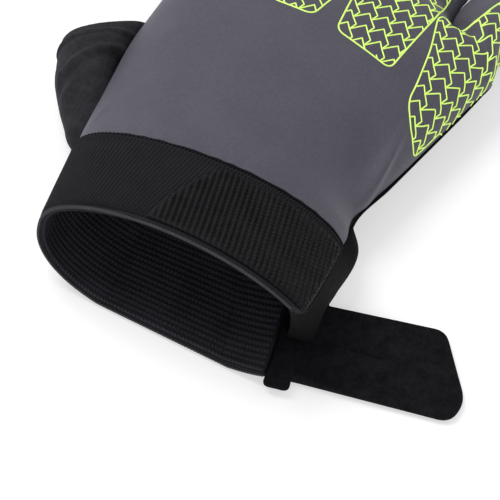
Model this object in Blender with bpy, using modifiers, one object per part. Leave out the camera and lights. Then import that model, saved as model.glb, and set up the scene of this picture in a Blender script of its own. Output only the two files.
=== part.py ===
# Half-finger cycling glove for the right hand, lying palm down with its cuff open.
#
# Frame: metres, +Z up, the floor at z = 0. +Y runs from the wrist to the fingers, +X to the
# little finger and -X to the thumb. The origin lies on the flat underside of the palm.
# Sizes below are in millimetres. Lengths along the hand are counted from the middle of the
# cuff's rim, and in_frame turns a point into metres from the origin.

import math

import bmesh
import bpy
import numpy as np

MM = 0.001

# Driving dimensions, in millimetres

GAP = 0.3                # clearance between neighbouring pieces
KNIT_THICKNESS = 1.2     # stretch knit and suede walls of the hand
BAND_THICKNESS = 1.6     # woven elastic of the cuff
STRAP_THICKNESS = 2.4    # doubled strap
PATCH_THICKNESS = 1.2    # hook patch
NUB_THICKNESS = 1.3      # seam tab

CUFF_WIDTH = 72.0        # the cuff's rim, outside
CUFF_HEIGHT = 37.0
BAND_LENGTH = 31.4       # along the wrist, from the rim to the seam with the hand
HAND_LENGTH = 91.6       # from that seam to the web beside the middle finger
KNUCKLE_WIDTH = 88.3     # across the hand at the webs
HAND_HEIGHT = 30.4
FINGER_LENGTH = 28.0     # a sleeve's length past the webs
FINGER_WIDTH = 20.0      # a sleeve's open end
FINGER_HEIGHT = 23.5     # a finger's height where it leaves the hand
THUMB_REACH = 40.6       # from the seam to the middle of the thumb's open end
THUMB_WIDTH = 24.0
THUMB_HEIGHT = 20.8
GUSSET_BULGE = 4.0       # how far the gusset stands out past the cuff's side
STRAP_LENGTH = 41.4      # past the cuff's side
STRAP_WIDTH = 25.6
STRAP_TURN = 10.8        # degrees, from across the wrist towards the fingers
STRAP_CORNER = 3.2       # radius
NUB_WIDTH = 5.2
NUB_LENGTH = 11.0
NUB_REACH = 2.6          # past the strap's edge
NUB_CORNER = 2.2         # radius

ORIGIN_Y = 61.6          # from the middle of the rim to the origin

RIM_SLOPE = -0.1         # the rim comes forward by this much for each mm towards +X
FLAT_SINK = 1.0          # how far a section reaches below the floor before it is flattened
SLEEVE_GAP = 0.9         # from the hand's slanted edge to a finger's sleeve
SIDE_GAP = 1.1           # between the outer edges of back and palm, whose walls slant together

TOP_POWER = 2.0          # superellipse powers of the upper and lower halves of a section
FLOOR_POWER = 2.6
RIM_MIDDLE = 0.51        # share of CUFF_HEIGHT at which the rim is widest

# Sections of the hand: place as a share of HAND_LENGTH, left and right side as shares of
# KNUCKLE_WIDTH, height and height of the widest line as shares of HAND_HEIGHT
HAND_SECTIONS = [
    (0.00, -0.414, 0.378, 1.02, 0.49),
    (0.14, -0.401, 0.365, 0.97, 0.46),
    (0.29, -0.394, 0.421, 0.96, 0.44),
    (0.43, -0.387, 0.478, 0.97, 0.44),
    (0.64, -0.376, 0.548, 1.00, 0.44),
    (0.84, -0.362, 0.616, 0.93, 0.43),
    (1.01, -0.351, 0.651, 0.77, 0.41),
]

# The line where the hand divides into fingers, from the index finger's outer side to the
# little finger's outer side: x as a share of KNUCKLE_WIDTH, place as a share of HAND_LENGTH
WEBS = [(-0.351, 0.86), (-0.108, 0.98), (0.164, 1.0), (0.430, 0.935), (0.649, 0.836)]
WEB_HEIGHT = 0.53        # share of FINGER_HEIGHT at which a finger is widest
KNUCKLE_START = 0.62     # share of the hand's length where the valleys between fingers begin
VALLEY_DEPTH = 0.55      # how far the valleys reach down to the webs

# Fingers: name, length as a share of FINGER_LENGTH, direction to the right of +Y in degrees,
# width and height of the open end as shares of FINGER_WIDTH
FINGERS = [
    ("index_sleeve", 0.96, 1.0, 0.98, 0.96),
    ("middle_sleeve", 1.00, 6.0, 1.02, 0.98),
    ("ring_sleeve", 0.96, 11.0, 0.98, 0.96),
    ("little_sleeve", 0.89, 18.0, 0.86, 0.88),
]

# Thumb: x from the hand's side as a share of THUMB_WIDTH, place as a share of THUMB_REACH,
# left and right half widths as shares of THUMB_WIDTH, direction to the left of +Y in degrees
THUMB_ROWS = [
    (0.47, 0.25, 0.44, 0.44, 38.0),
    (0.18, 0.40, 0.54, 0.46, 34.0),
    (-0.08, 0.63, 0.51, 0.45, 28.0),
    (-0.24, 0.85, 0.44, 0.40, 25.0),
    (-0.325, 1.00, 0.39, 0.333, 26.0),
]
THUMB_LIFT = 0.6         # from the floor to the thumb's underside
THUMB_BORE_ROWS = 4      # rows of the thumb whose inside opens into the hand

# Cuff: angles in degrees round the section, from +X over the top, at the rim and at the seam
BAND_START = (36.0, 17.0)    # where the band ends on the back, towards the little finger
BAND_END = (312.0, 318.0)    # where it ends on the palm
PATCH_START = (42.0, 27.0)   # hook patch, towards the little finger
PATCH_END = (101.0, 78.0)    # its slanted end towards the thumb
PATCH_REACH = (0.05, 0.9)    # shares of BAND_LENGTH from the rim
GUSSET_TURN = 3.5            # from the band's end to the gusset's upper edge

# Gusset that closes the band towards the little finger, from the rim to its pointed end.
# Shares of BAND_LENGTH: upper edge, bulge, foot. Shares of GUSSET_BULGE past the cuff's side:
# bulge, foot. Shares of CUFF_HEIGHT: height of the bulge, and of the foot above the strap.
GUSSET_ROWS = [
    (0.00, 0.06, 0.22, -0.70, -0.60, 0.500, 0.0),
    (0.32, 0.38, 0.43, 0.05, -0.20, 0.420, 0.0),
    (0.64, 0.70, 0.64, 0.55, 0.10, 0.350, 0.0),
    (0.89, 0.98, 0.83, 0.90, 0.33, 0.325, 0.0),
    (1.10, 1.16, 0.99, 1.00, 0.50, 0.297, 0.0),
    (1.40, 1.39, 1.37, 0.60, 0.60, 0.280, 0.14),
]
GUSSET_TIP = (0.60, 0.33)    # upper edge past the seam: share of GUSSET_BULGE, of CUFF_HEIGHT

# Closure strap in its own frame, from where it leaves the cuff's side: shares of STRAP_LENGTH
# and STRAP_WIDTH, and whether the corner is rounded
STRAP_CORNERS = [(0.0, 0.0, False), (0.92, -0.045, True), (1.0, 0.224, True),
                 (0.856, 1.0, True), (0.143, 0.966, False)]
STRAP_SIDE = 0.945           # where it leaves the cuff, as a share of half the cuff's width
ROOT_REACH = (-0.07, 0.985)  # the strap's root under the gusset, as shares of BAND_LENGTH

# Colours are linear
BLACK_ELASTIC = (0.019, 0.018, 0.022, 1.0)
BLACK_SUEDE = (0.027, 0.027, 0.031, 1.0)
BLACK_PILE = (0.012, 0.012, 0.013, 1.0)
GREY_KNIT = (0.112, 0.106, 0.127, 1.0)


def remove_all():
    """Empty the scene, so that a second run gives the same model."""
    for old in list(bpy.data.objects):
        bpy.data.objects.remove(old, do_unlink=True)


def new_collection(name):
    collection = bpy.data.collections.new(name)
    bpy.context.scene.collection.children.link(collection)
    return collection


def material(name, colour, roughness):
    """A plain cloth finish: a Principled BSDF with no metal in it."""
    made = bpy.data.materials.new(name)
    made.use_nodes = True
    shader = made.node_tree.nodes["Principled BSDF"]
    shader.inputs["Base Color"].default_value = colour
    shader.inputs["Roughness"].default_value = roughness
    shader.inputs["Metallic"].default_value = 0.0
    return made


def in_frame(point):
    return (point[0] * MM, (point[1] - ORIGIN_Y) * MM, point[2] * MM)


def add_object(name, mesh, collection, finish):
    made = bpy.data.objects.new(name, mesh)
    collection.objects.link(made)
    if finish is not None:
        mesh.materials.append(finish)
    return made


def grid_mesh(name, points, closed=False, capped=False):
    """A surface through points[row][column], in millimetres. closed joins the last column to
    the first, and capped fills both end rings of a closed surface."""
    rows, columns = points.shape[:2]
    shape = bmesh.new()
    verts = [[shape.verts.new(in_frame(point)) for point in row] for row in points]
    last = columns if closed else columns - 1
    for row in range(rows - 1):
        for column in range(last):
            after = (column + 1) % columns
            shape.faces.new((verts[row][column], verts[row][after],
                             verts[row + 1][after], verts[row + 1][column]))
    if capped:
        shape.faces.new(verts[0][::-1])
        shape.faces.new(verts[-1])
    mesh = bpy.data.meshes.new(name)
    shape.to_mesh(mesh)
    shape.free()
    return mesh


def smooth(made, angle=40.0):
    made.data.shade_smooth()
    made.data.set_sharp_from_angle(angle=math.radians(angle))


def solidify(made, thickness, outward=False):
    """Give an open surface its wall: inward of the surface, or outward of it."""
    wall = made.modifiers.new("wall", "SOLIDIFY")
    wall.thickness = thickness * MM
    wall.offset = 1.0 if outward else -1.0
    wall.use_even_offset = False
    wall.use_rim = True


def cut(made, cutter):
    hole = made.modifiers.new("cut", "BOOLEAN")
    hole.operation = "DIFFERENCE"
    hole.object = cutter


def rim_section():
    return [-CUFF_WIDTH / 2, CUFF_WIDTH / 2, CUFF_HEIGHT, RIM_MIDDLE * CUFF_HEIGHT]


def section_at(y):
    """The left and right side, height and widest line at y: along the band from the rim to
    the seam, and then from HAND_SECTIONS."""
    scale = (KNUCKLE_WIDTH, KNUCKLE_WIDTH, HAND_HEIGHT, HAND_HEIGHT)
    rows = [(0.0, *rim_section())]
    for row in HAND_SECTIONS:
        sizes = [share * size for share, size in zip(row[1:], scale)]
        rows.append((BAND_LENGTH + row[0] * HAND_LENGTH, *sizes))
    table = np.array(rows)
    return [float(np.interp(y, table[:, 0], table[:, column])) for column in range(1, 5)]


def web_point(number):
    """x and y of a web, or of the hand's outer side beside the first and last finger."""
    across, along = WEBS[number]
    return np.array((across * KNUCKLE_WIDTH, BAND_LENGTH + along * HAND_LENGTH))


def section_point(section, angle):
    """x and z at an angle in degrees, from +X over the top. The lower half is a fuller
    superellipse that is flattened on the floor."""
    left, right, height, middle = section
    across = math.cos(math.radians(angle))
    up = math.sin(math.radians(angle))
    power = TOP_POWER if up >= 0 else FLOOR_POWER
    x = (left + right) / 2 + (right - left) / 2 * math.copysign(abs(across) ** (2 / power), across)
    if up >= 0:
        z = middle + (height - middle) * up ** (2 / power)
    else:
        z = max(0.0, middle - (middle + FLAT_SINK) * (-up) ** (2 / power))
    return x, z


def mix(start, end, share):
    return start + (end - start) * share


def cuff_point(angle, share):
    """A point on the band's outer face: share is 0 at the slanted rim and 1 at the seam."""
    rim = section_point(rim_section(), angle)
    seam = section_point(section_at(BAND_LENGTH), angle)
    x = mix(rim[0], seam[0], share)
    z = mix(rim[1], seam[1], share)
    y = mix(RIM_SLOPE * x, BAND_LENGTH - GAP, share)
    return x, y, z


def cuff_surface(start, end, reach, rows, columns):
    """Part of the band between two pairs of angles, each given at the rim and at the seam."""
    points = []
    for share in np.linspace(reach[0], reach[1], rows):
        first = mix(start[0], start[1], share)
        last = mix(end[0], end[1], share)
        points.append([cuff_point(angle, share) for angle in np.linspace(first, last, columns)])
    return np.array(points)


def finger_share(across):
    """Which finger a column belongs to, and how far across that finger it is."""
    place = min(max(across, 0.0), 1.0) * len(FINGERS)
    finger = min(int(place), len(FINGERS) - 1)
    return finger, place - finger


def hand_point(across, along, side):
    """A point on the hand's skin. across runs from the index finger to the little finger,
    along from the cuff's seam to the fingers, and side is 1 on the back and -1 on the palm."""
    finger, share = finger_share(across)
    left = web_point(finger)
    right = web_point(finger + 1)
    reach = 0.5 - 0.5 * math.cos(math.pi * share)
    y = mix(BAND_LENGTH, mix(left[1], right[1], reach), along)
    first = WEBS[0][0]
    width = WEBS[-1][0] - first
    starts = [math.degrees(math.acos(max(-1.0, min(1.0, 2 * (web[0] - first) / width - 1))))
              for web in WEBS]
    angle = side * mix(starts[finger], starts[finger + 1], share)
    x, z = section_point(section_at(y), angle)
    valley = min(max((along - KNUCKLE_START) / (1 - KNUCKLE_START), 0.0), 1.0)
    valley = valley * valley * (3 - 2 * valley)
    bow = math.sin(math.pi * share)
    middle = WEB_HEIGHT * FINGER_HEIGHT
    if side > 0:
        finger_z = middle + (FINGER_HEIGHT - middle) * bow
    else:
        finger_z = max(0.0, middle - (middle + FLAT_SINK) * bow)
    x = mix(x, mix(left[0], right[0], reach), valley)
    return x, y, max(0.0, mix(z, finger_z, VALLEY_DEPTH * valley))


def hand_surface(side, rows, columns):
    """The hand's back or palm, from just past the seam to the webs. Its sides stop short of
    the widest line by half of SIDE_GAP."""
    start = GAP / HAND_LENGTH
    points = np.array([[hand_point(across, along, side)
                        for across in np.linspace(0.0, 1.0, columns)]
                       for along in np.linspace(start, 1.0, rows)])
    points[:, 0, 2] += side * SIDE_GAP / 2
    points[:, -1, 2] += side * SIDE_GAP / 2
    return points


def finger_surface(number, rows, columns):
    """A finger's sleeve: rings from the line between its two webs to its square open end."""
    name, length, direction, end_width, end_height = FINGERS[number]
    left = web_point(number)
    right = web_point(number + 1)
    heading = np.array([math.sin(math.radians(direction)), math.cos(math.radians(direction))])
    base = (left + right) / 2 + heading * SLEEVE_GAP
    base_across = (right - left) / np.linalg.norm(right - left)
    end_across = np.array([heading[1], -heading[0]])
    base_half = np.linalg.norm(right - left) / 2 - GAP
    base_height = FINGER_HEIGHT / 2
    points = []
    for share in np.linspace(0.0, 1.0, rows):
        centre = base + heading * length * FINGER_LENGTH * share
        across = mix(base_across, end_across, share)
        across = across / np.linalg.norm(across)
        wide = mix(base_half, end_width * FINGER_WIDTH / 2, share)
        tall = mix(base_height, end_height * FINGER_WIDTH / 2, share)
        ring = []
        for angle in np.linspace(0.0, 2 * math.pi, columns, endpoint=False):
            plan = centre + across * wide * math.cos(angle)
            ring.append((plan[0], plan[1], tall + tall * math.sin(angle)))
        points.append(ring)
    return np.array(points)


def thumb_surface(rows_used, columns, inset):
    """The thumb's tube along THUMB_ROWS, or the hollow inside it where inset is its wall."""
    side = section_at(BAND_LENGTH + THUMB_REACH * 0.65)[0]
    half_height = THUMB_HEIGHT / 2
    points = []
    for out, along, left_share, right_share, direction in THUMB_ROWS[:rows_used]:
        turn = math.radians(direction)
        x = side + out * THUMB_WIDTH
        y = BAND_LENGTH + along * THUMB_REACH
        ring = []
        for angle in np.linspace(0.0, 2 * math.pi, columns, endpoint=False):
            wide = (right_share if math.cos(angle) >= 0 else left_share) * THUMB_WIDTH - inset
            reach = wide * math.cos(angle)
            up = (half_height - inset) * math.sin(angle)
            ring.append((x + reach * math.cos(turn), y + reach * math.sin(turn),
                         THUMB_LIFT + half_height + up))
        points.append(ring)
    return np.array(points)


def hand_hull():
    """A closed cutter a gap larger than the hand, with which the thumb's sleeve is trimmed."""
    rings = []
    for y in np.linspace(BAND_LENGTH * 0.6, BAND_LENGTH + THUMB_REACH * 1.4, 14):
        left, right, height, middle = section_at(y)
        ring = []
        for angle in np.linspace(0.0, 360.0, 48, endpoint=False):
            x, z = section_point((left - GAP, right + GAP, height + GAP, middle), angle)
            ring.append((x, y, z - (GAP if angle > 180.0 else 0.0)))
        rings.append(ring)
    return np.array(rings)[:, ::-1]


def spline_row(upper, bulge, foot, count):
    """A smooth bow through three points: a quadratic curve that passes through the bulge."""
    upper, bulge, foot = (np.array(point) for point in (upper, bulge, foot))
    handle = 2 * bulge - (upper + foot) / 2
    steps = np.linspace(0.0, 1.0, count)[:, None]
    return (1 - steps) ** 2 * upper + 2 * steps * (1 - steps) * handle + steps ** 2 * foot


def gusset_surface(columns):
    """The gusset: each row bows from the band's end over the bulge to a foot on the strap."""
    rows = []
    floor = STRAP_THICKNESS + GAP * 1.5
    for upper, bulge, foot, bulge_out, foot_out, bulge_up, foot_up in GUSSET_ROWS:
        side = section_at(bulge * BAND_LENGTH)[1]
        if upper <= 1.0:
            angle = mix(BAND_START[0], BAND_START[1], upper) - GUSSET_TURN
            start = cuff_point(angle, upper)
        else:
            tip = (upper - 1.0) / (GUSSET_ROWS[-1][0] - 1.0)
            joint = cuff_point(BAND_START[1] - GUSSET_TURN, 1.0)
            start = (side + GUSSET_TIP[0] * GUSSET_BULGE, upper * BAND_LENGTH,
                     mix(joint[2], GUSSET_TIP[1] * CUFF_HEIGHT, tip))
        rows.append(spline_row(
            start,
            (side + bulge_out * GUSSET_BULGE, bulge * BAND_LENGTH, bulge_up * CUFF_HEIGHT),
            (side + foot_out * GUSSET_BULGE, foot * BAND_LENGTH, floor + foot_up * CUFF_HEIGHT),
            columns))
    return np.array(rows)


def rounded_outline(corners):
    """An outline's points, with an arc of a few points at each corner that has a radius."""
    points = []
    for number, (x, y, radius) in enumerate(corners):
        here = np.array((x, y))
        if radius == 0.0:
            points.append(here)
            continue
        back = np.array(corners[number - 1][:2]) - here
        ahead = np.array(corners[(number + 1) % len(corners)][:2]) - here
        start = here + back / np.linalg.norm(back) * radius
        end = here + ahead / np.linalg.norm(ahead) * radius
        for step in np.linspace(0.0, 1.0, 5):
            points.append((1 - step) ** 2 * start + 2 * step * (1 - step) * here + step ** 2 * end)
    return points


def slab(name, outline, bottom, thickness, collection, finish):
    """A flat piece: a filled 2D curve with an extrude of half its thickness, as a mesh."""
    curve = bpy.data.curves.new(name, "CURVE")
    curve.dimensions = "2D"
    curve.fill_mode = "BOTH"
    curve.extrude = thickness * MM / 2
    line = curve.splines.new("POLY")
    line.points.add(len(outline) - 1)
    for point, place in zip(line.points, outline):
        point.co = (*in_frame((place[0], place[1], 0.0)), 1.0)
    line.use_cyclic_u = True
    guide = bpy.data.objects.new(name + "_outline", curve)
    collection.objects.link(guide)
    guide.location.z = (bottom + thickness / 2) * MM
    bpy.context.view_layer.update()
    evaluated = guide.evaluated_get(bpy.context.evaluated_depsgraph_get())
    mesh = bpy.data.meshes.new_from_object(evaluated)
    place = guide.matrix_world.copy()
    bpy.data.objects.remove(guide, do_unlink=True)
    mesh.name = name
    shape = bmesh.new()
    shape.from_mesh(mesh)
    bmesh.ops.remove_doubles(shape, verts=shape.verts, dist=1e-6)
    bmesh.ops.recalc_face_normals(shape, faces=shape.faces)
    shape.to_mesh(mesh)
    shape.free()
    mesh.materials.clear()
    made = add_object(name, mesh, collection, finish)
    made.matrix_world = place
    return made


def build_hand(parts, cutters, grey, suede):
    """Back and palm of the hand, with the hole through which the thumb's inside opens."""
    bore = add_object("thumb_bore", grid_mesh("thumb_bore", thumb_surface(
        THUMB_BORE_ROWS, 24, KNIT_THICKNESS)[:, ::-1], closed=True, capped=True), cutters, None)
    back = add_object("back_panel", grid_mesh("back_panel", hand_surface(1, 12, 33)),
                      parts, grey)
    palm = add_object("palm_panel", grid_mesh("palm_panel", hand_surface(-1, 12, 33)[::-1]),
                      parts, suede)
    for panel in (back, palm):
        solidify(panel, KNIT_THICKNESS)
        cut(panel, bore)
        smooth(panel)
    return bore


def build_fingers(parts, grey):
    for number, finger in enumerate(FINGERS):
        sleeve = add_object(finger[0], grid_mesh(
            finger[0], finger_surface(number, 4, 20)[:, ::-1], closed=True), parts, grey)
        solidify(sleeve, KNIT_THICKNESS)
        smooth(sleeve)


def build_thumb(parts, cutters, suede):
    hull = add_object("hand_hull", grid_mesh("hand_hull", hand_hull(), closed=True, capped=True),
                      cutters, None)
    sleeve = add_object("thumb_sleeve", grid_mesh("thumb_sleeve", thumb_surface(
        len(THUMB_ROWS), 24, 0.0)[:, ::-1], closed=True), parts, suede)
    solidify(sleeve, KNIT_THICKNESS)
    cut(sleeve, hull)
    smooth(sleeve)


def build_cuff(parts, elastic, pile):
    band = add_object("cuff_band", grid_mesh("cuff_band", cuff_surface(
        BAND_START, BAND_END, (0.0, 1.0), 4, 57)[::-1]), parts, elastic)
    solidify(band, BAND_THICKNESS)
    smooth(band)

    # The patch lies a gap above the band, so its surface is moved out before its wall is added.
    patch_points = cuff_surface(PATCH_START, PATCH_END, PATCH_REACH, 3, 15)
    outward = patch_points - np.array((0.0, 0.0, rim_section()[3]))
    outward[:, :, 1] = 0.0
    outward /= np.linalg.norm(outward, axis=2, keepdims=True)
    patch_points = (patch_points + outward * GAP * 1.5)[::-1]
    patch = add_object("hook_patch", grid_mesh("hook_patch", patch_points), parts, pile)
    solidify(patch, PATCH_THICKNESS, outward=True)
    smooth(patch)

    gusset = add_object("ulnar_gusset", grid_mesh("ulnar_gusset", gusset_surface(9)),
                        parts, elastic)
    solidify(gusset, KNIT_THICKNESS)
    smooth(gusset)


def build_strap(parts, pile, elastic):
    """The strap with its root under the gusset, and the seam tab that lies on the root."""
    root = max(cuff_point(BAND_END[0], 0.0)[0], cuff_point(BAND_END[1], 1.0)[0]) + GAP * 1.5
    front = ROOT_REACH[0] * BAND_LENGTH
    back = ROOT_REACH[1] * BAND_LENGTH
    side = STRAP_SIDE * CUFF_WIDTH / 2
    turn = math.radians(STRAP_TURN)
    corners = [(root, front, 0.0)]
    for along_share, across_share, is_round in STRAP_CORNERS:
        along = along_share * STRAP_LENGTH
        across = across_share * STRAP_WIDTH
        corners.append((side + along * math.cos(turn) - across * math.sin(turn),
                        along * math.sin(turn) + across * math.cos(turn),
                        STRAP_CORNER if is_round else 0.0))
    corners += [(side + GAP, back, 0.0), (root, back, 0.0)]
    slab("closure_strap", rounded_outline(corners), 0.0, STRAP_THICKNESS, parts, pile)

    left = root + GAP
    right = left + NUB_WIDTH
    nub_front = front - NUB_REACH
    nub_back = nub_front + NUB_LENGTH
    corners = [(left, nub_front, NUB_CORNER), (right, nub_front + NUB_REACH / 3, NUB_CORNER),
               (right, nub_back, 0.0), (left, nub_back, 0.0)]
    slab("seam_tab", rounded_outline(corners), STRAP_THICKNESS + GAP, NUB_THICKNESS, parts,
         elastic)


def main():
    remove_all()
    parts = new_collection("cycling_glove")
    cutters = new_collection("cutters")
    grey = material("grey_stretch_knit", GREY_KNIT, 0.7)
    suede = material("black_suede", BLACK_SUEDE, 0.9)
    elastic = material("black_woven_elastic", BLACK_ELASTIC, 0.75)
    pile = material("black_pile", BLACK_PILE, 0.95)
    build_hand(parts, cutters, grey, suede)
    build_fingers(parts, grey)
    build_thumb(parts, cutters, suede)
    build_cuff(parts, elastic, pile)
    build_strap(parts, pile, elastic)
    for cutter in cutters.objects:
        cutter.hide_render = True
        cutter.display_type = "WIRE"


main()
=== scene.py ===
# Half-finger cycling glove, lying palm down with its cuff towards the camera.
# Every shape is a numpy surface in millimetres, counted from the middle of the cuff's rim,
# and toFrame sets it into the CAD frame. +Y runs to the fingers, +X to the little finger.
import math

import bmesh
import bpy
import numpy as np
from mathutils import Matrix, Vector


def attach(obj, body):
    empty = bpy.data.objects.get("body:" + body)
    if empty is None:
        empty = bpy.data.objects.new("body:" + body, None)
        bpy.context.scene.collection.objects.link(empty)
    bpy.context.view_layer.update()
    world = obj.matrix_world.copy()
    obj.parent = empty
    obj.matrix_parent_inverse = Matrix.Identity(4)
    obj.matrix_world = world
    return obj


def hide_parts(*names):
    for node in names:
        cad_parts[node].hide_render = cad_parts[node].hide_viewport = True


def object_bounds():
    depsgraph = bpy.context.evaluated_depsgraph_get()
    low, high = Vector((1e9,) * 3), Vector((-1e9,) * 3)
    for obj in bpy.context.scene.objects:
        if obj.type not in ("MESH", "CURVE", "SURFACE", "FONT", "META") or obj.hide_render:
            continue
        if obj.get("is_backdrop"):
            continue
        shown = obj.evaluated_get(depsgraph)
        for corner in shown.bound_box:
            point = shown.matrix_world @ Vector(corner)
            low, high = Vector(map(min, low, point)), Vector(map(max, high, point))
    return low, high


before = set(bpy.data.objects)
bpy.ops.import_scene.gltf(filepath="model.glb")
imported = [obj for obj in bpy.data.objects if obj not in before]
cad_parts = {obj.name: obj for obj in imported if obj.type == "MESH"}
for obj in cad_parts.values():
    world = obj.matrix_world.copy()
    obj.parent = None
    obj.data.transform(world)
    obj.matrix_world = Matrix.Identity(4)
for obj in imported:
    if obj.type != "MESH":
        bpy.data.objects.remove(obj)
cadBox = [list(corner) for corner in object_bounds()]

originY = 61.6      # mm from the middle of the rim to the frame's origin
uvSize = 100.0      # mm of cloth to one unit of the UV map


def toFrame(points):
    # metres = (x, y - originY, z) / 1000
    return (np.asarray(points, float) - (0.0, originY, 0.0)) * 0.001


def mix(start, end, share):
    # start + (end - start) * share
    return start + (end - start) * share


def smoothStep(t):
    # 3 t^2 - 2 t^3 between 0 and 1
    t = np.clip(t, 0.0, 1.0)
    return t * t * (3.0 - 2.0 * t)


def hill(distance, width):
    # exp(-(d / w)^2)
    return np.exp(-(distance / width) ** 2)


def throughRows(at, places, rows):
    # Cubic Hermite curve through the rows, with each slope taken from its two neighbours.
    places, rows = np.asarray(places, float), np.asarray(rows, float)
    slopes = np.gradient(rows, places, axis=0)
    at = np.clip(np.asarray(at, float), places[0], places[-1])
    index = np.clip(np.searchsorted(places, at, side="right") - 1, 0, len(places) - 2)
    gap = places[index + 1] - places[index]
    t = (at - places[index]) / gap
    if rows.ndim > 1:
        t, gap = t[..., None], gap[..., None]
    return ((2 * t ** 3 - 3 * t ** 2 + 1) * rows[index]
            + (t ** 3 - 2 * t ** 2 + t) * gap * slopes[index]
            + (3 * t ** 2 - 2 * t ** 3) * rows[index + 1]
            + (t ** 3 - t ** 2) * gap * slopes[index + 1])


def quadratic(t, start, handle, end):
    # (1 - t)^2 start + 2 t (1 - t) handle + t^2 end
    return (1 - t) ** 2 * start + 2 * t * (1 - t) * handle + t ** 2 * end


def softNoise(x, y, grain, seed):
    # Value noise from -1 to 1: a seeded lattice of random heights, blended by smoothStep.
    lattice = np.random.default_rng(seed).uniform(-1.0, 1.0, (64, 64))
    column, row = np.floor(x / grain).astype(int), np.floor(y / grain).astype(int)
    across, along = smoothStep(x / grain - column), smoothStep(y / grain - row)
    corner = lambda dx, dy: lattice[(row + dy) % 64, (column + dx) % 64]
    return mix(mix(corner(0, 0), corner(1, 0), across),
               mix(corner(0, 1), corner(1, 1), across), along)


def unevenness(x, y, layers):
    # Sum of height * softNoise, where each layer is (height, grain in mm, seed).
    return sum(height * softNoise(x, y, grain, seed) for height, grain, seed in layers)


def unit(vectors):
    # v / |v|
    return vectors / np.maximum(np.linalg.norm(vectors, axis=-1, keepdims=True), 1e-9)


def normalsOf(points, inside, closedColumns=False):
    # Cross product of the grid's two directions, turned away from the point inside.
    if closedColumns:
        across = np.roll(points, -1, 1) - np.roll(points, 1, 1)
    else:
        across = np.gradient(points, axis=1)
    normals = unit(np.cross(across, np.gradient(points, axis=0)))
    return normals if np.sum(normals * (points - inside)) > 0 else -normals


def lengthsAlong(points):
    # Distance along each row of a grid, from its first column.
    steps = np.linalg.norm(np.diff(points, axis=1), axis=2)
    return np.concatenate([np.zeros((len(points), 1)), np.cumsum(steps, axis=1)], axis=1)


def lengthsTo(path):
    # Distance along a path, from its first point.
    return np.concatenate([[0.0], np.cumsum(np.linalg.norm(np.diff(path, axis=0), axis=1))])


def gridFaces(rows, columns, closedColumns=False):
    # Quads (r, c) (r, c+1) (r+1, c+1) (r+1, c); closed joins the last column to the first.
    r, c = np.meshgrid(np.arange(rows - 1), np.arange(columns if closedColumns else columns - 1),
                       indexing="ij")
    after = (c + 1) % columns
    return np.stack([r * columns + c, r * columns + after,
                     (r + 1) * columns + after, (r + 1) * columns + c], -1).reshape(-1, 4)


def gridCorners(uv):
    # The UV of each quad's four corners; a closed grid has one more column of UV than of points.
    return np.stack([uv[:-1, :-1], uv[:-1, 1:], uv[1:, 1:], uv[1:, :-1]], 2).reshape(-1, 4, 2)


def meshPiece(name, vertices, faces, corners, finish, sharp=50.0, weld=False):
    # One mesh object at the origin, with its place in its mesh and its own UV map. Weld joins the
    # points of a pole or slit that lie within 0.002 mm, and fills what is still open.
    mesh = bpy.data.meshes.new(name)
    mesh.vertices.add(len(vertices))
    mesh.vertices.foreach_set("co", toFrame(vertices).ravel())
    mesh.loops.add(faces.size)
    mesh.loops.foreach_set("vertex_index", faces.ravel().astype(np.int32))
    mesh.polygons.add(len(faces))
    mesh.polygons.foreach_set("loop_start", np.arange(0, faces.size, 4, dtype=np.int32))
    mesh.update(calc_edges=True)
    layer = mesh.uv_layers.new(name="cloth")
    layer.data.foreach_set("uv", (corners / uvSize).ravel())
    if weld:
        shape = bmesh.new()
        shape.from_mesh(mesh)
        bmesh.ops.remove_doubles(shape, verts=shape.verts, dist=2e-6)
        bmesh.ops.dissolve_degenerate(shape, edges=shape.edges, dist=1e-6)
        bmesh.ops.holes_fill(shape, edges=shape.edges, sides=0)
        shape.to_mesh(mesh)
        shape.free()
    mesh.validate()
    mesh.shade_smooth()
    mesh.set_sharp_from_angle(angle=math.radians(sharp))
    made = bpy.data.objects.new(name, mesh)
    bpy.context.scene.collection.objects.link(made)
    mesh.materials.append(finish)
    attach(made, "root")
    return made


def turnedOut(faces, corners, points, normals):
    # Turns the quads over where their winding looks against the normals.
    across = points[:-1, 1:] - points[:-1, :-1]
    along = points[1:, :-1] - points[:-1, :-1]
    if np.sum(np.cross(across, along) * normals[:-1, :-1]) < 0:
        return faces[:, ::-1], corners[:, ::-1]
    return faces, corners


def wallPiece(name, outer, normals, wall, uv, finish, closedColumns=False, sharp=50.0):
    # A cloth wall: outer face P, inner face P - n * wall, and a strip along each open edge.
    rows, columns = outer.shape[:2]
    count = rows * columns
    face, faceCorners = gridFaces(rows, columns, closedColumns), gridCorners(uv)
    index = np.arange(count).reshape(rows, columns)
    if closedColumns:
        loops = [index[0], index[-1][::-1]]
    else:
        loops = [np.concatenate([index[0, :-1], index[:-1, -1], index[-1, :0:-1], index[:0:-1, 0]])]
    flatUv = uv[:, :columns].reshape(-1, 2)
    strips = [np.stack([np.roll(loop, -1), loop, loop + count, np.roll(loop, -1) + count], -1)
              for loop in loops]
    faces = np.concatenate([face, *strips, face[:, ::-1] + count])
    corners = np.concatenate([faceCorners, *[flatUv[strip % count] for strip in strips],
                              faceCorners[:, ::-1]])
    faces, corners = turnedOut(faces, corners, outer, normals)
    vertices = np.concatenate([outer.reshape(-1, 3), (outer - normals * wall).reshape(-1, 3)])
    return meshPiece(name, vertices, faces, corners, finish, sharp)


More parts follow.
